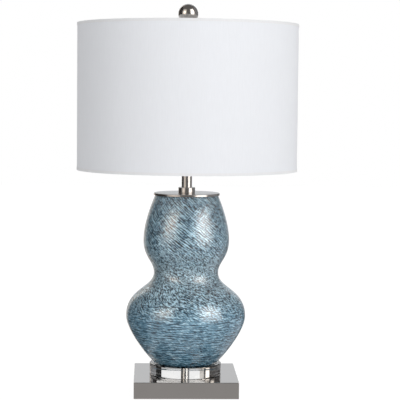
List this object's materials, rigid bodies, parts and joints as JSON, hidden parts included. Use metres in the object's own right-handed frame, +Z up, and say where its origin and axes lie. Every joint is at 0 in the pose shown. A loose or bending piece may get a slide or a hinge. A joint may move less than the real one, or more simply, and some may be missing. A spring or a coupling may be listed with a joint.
{
  "type": "table lamp",
  "caption": "Double gourd glass table lamp on a crystal disc and square metal base, with a white drum shade, harp, switched socket and ball finial.",
  "frame": {"origin": "middle of the underside of the square base", "axes": "+Z up along the lamp's axis; +X to the right along the front edge of the base; +Y to the rear, where the cord leaves"},
  "size_m": [0.4063, 0.4064, 0.7138],
  "materials": {
    "felt": "thin pressed felt, matt black",
    "base_nickel": "satin nickel plate, fine brush lines",
    "cast_iron": "raw casting",
    "zinc_steel": "bright zinc",
    "black_nylon": "moulded black nylon",
    "crystal": "polished clear crystal with bevelled rims",
    "clear_vinyl": "thin clear vinyl",
    "art_glass": "blown glass, smoky teal with drawn pale strands, clear cased",
    "rubber": "soft black rubber",
    "nickel": "satin nickel plate",
    "socket_nickel": "bright nickel plate on brass",
    "fibre": "pressed fibre",
    "black_phenolic": "moulded phenolic",
    "brass": "plain brass",
    "bulb_solder": "solder tip",
    "black_glass": "black vitreous insulator",
    "bulb_cap": "pressed aluminium",
    "frosted_glass": "white frosted glass",
    "white_wire": "white coated steel wire",
    "styrene": "white styrene sheet",
    "shade_cloth": "fine smooth white weave",
    "edge_tape": "self edge in the shade's cloth"
  },
  "bodies": {
    "lamp_body": {"felt_pad": "felt", "base_shell": "base_nickel", "base_weight": "cast_iron", "cover_screws": "zinc_steel", "bottom_cover": "zinc_steel", "cord_bushing": "black_nylon", "threaded_rod": "zinc_steel", "rod_nut": "zinc_steel", "rod_washer": "zinc_steel", "crystal_disc": "crystal", "lower_disc_pad": "clear_vinyl", "upper_disc_pad": "clear_vinyl", "gourd_glass": "art_glass", "foot_bushing": "rubber", "cap_seat_ring": "clear_vinyl", "vase_cap": "nickel", "neck_collar": "nickel", "neck_tube": "nickel", "check_ring": "nickel", "harp_saddle": "nickel", "harp_bow": "nickel", "socket_cap": "socket_nickel", "socket_set_screw": "zinc_steel", "socket_shell": "socket_nickel", "socket_insulator": "fibre", "socket_core": "black_phenolic", "terminal_screws": "brass", "screw_shell": "brass", "centre_contact": "brass"},
    "switch": {"switch_shaft": "brass", "switch_knob": "black_phenolic"},
    "sleeve_left": {"harp_sleeve_left": "nickel"},
    "sleeve_right": {"harp_sleeve_right": "nickel"},
    "bulb_tip": {"bulb_contact": "bulb_solder"},
    "bulb": {"bulb_insulator": "black_glass", "bulb_screw_base": "bulb_cap", "bulb_globe": "frosted_glass"},
    "shade": {"harp_stud": "brass", "spider_ring": "white_wire", "shade_bottom_ring": "white_wire", "shade_liner": "styrene", "shade_fabric": "shade_cloth", "shade_top_tape": "edge_tape", "shade_bottom_tape": "edge_tape"},
    "finial_thread": {"finial_insert": "brass"},
    "finial": {"finial_ball": "nickel"}
  },
  "joints": [
    {"name": "switch_turn", "type": "hinge", "parent": "lamp_body", "child": "switch", "pos_m": [0, -0.02, 0.4492], "axis": [0, -1, 0], "continuous": true},
    {"name": "sleeve_left_slide", "type": "slide", "parent": "lamp_body", "child": "sleeve_left", "axis": [0, 0, 1], "range_m": [0, 0.014]},
    {"name": "sleeve_right_slide", "type": "slide", "parent": "lamp_body", "child": "sleeve_right", "axis": [0, 0, 1], "range_m": [0, 0.014]},
    {"name": "bulb_rise", "type": "slide", "parent": "lamp_body", "child": "bulb_tip", "axis": [0, 0, 1], "range_m": [0, 0.0254]},
    {"name": "bulb_turn", "type": "hinge", "parent": "bulb_tip", "child": "bulb", "pos_m": [0, 0, 0.46], "axis": [0, 0, 1], "range_deg": [0, 2520]},
    {"name": "shade_turn", "type": "hinge", "parent": "lamp_body", "child": "shade", "pos_m": [0, 0, 0.663], "axis": [0, 0, 1], "continuous": true},
    {"name": "finial_rise", "type": "slide", "parent": "shade", "child": "finial_thread", "axis": [0, 0, 1], "range_m": [0, 0.0094]},
    {"name": "finial_turn", "type": "hinge", "parent": "finial_thread", "child": "finial", "pos_m": [0, 0, 0.69], "axis": [0, 0, 1], "range_deg": [0, 3600]}
  ],
  "couplings": [
    {"joint": "bulb_turn", "follows": "bulb_rise", "rad_per_m": 1731.4},
    {"joint": "finial_turn", "follows": "finial_rise", "rad_per_m": 6677.1}
  ]
}
